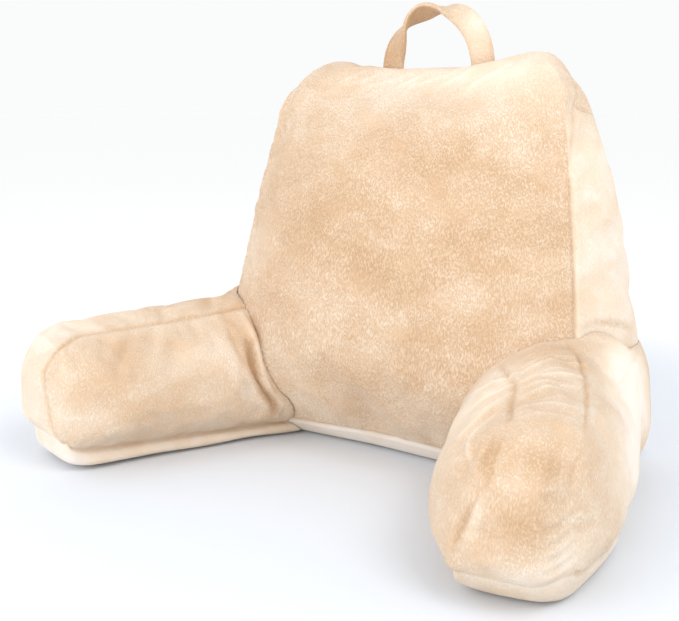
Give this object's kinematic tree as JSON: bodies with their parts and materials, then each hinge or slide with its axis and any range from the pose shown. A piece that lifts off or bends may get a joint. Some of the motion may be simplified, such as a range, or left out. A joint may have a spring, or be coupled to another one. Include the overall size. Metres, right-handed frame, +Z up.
{
  "type": "reading pillow",
  "caption": "Plush reading pillow: a tall wedge backrest with rounded top corners, padded arms splayed forward and a strap handle on top.",
  "frame": {"origin": "on the floor, under the middle of the backrest's flat base", "axes": "+X to the right across the backrest as seen from the front, +Y towards the back, +Z up; the arms reach towards -Y"},
  "size_m": [0.7252, 0.4791, 0.5165],
  "materials": {
    "backrest_plush": "cream plush velvet with a mottled nap",
    "arm_plush": "cream plush velvet with a mottled nap",
    "handle_plush": "cream plush velvet folded to a strap"
  },
  "bodies": {
    "root": {"backrest": "backrest_plush", "arm_left": "arm_plush", "arm_right": "arm_plush", "handle": "handle_plush"}
  },
  "joints": []
}
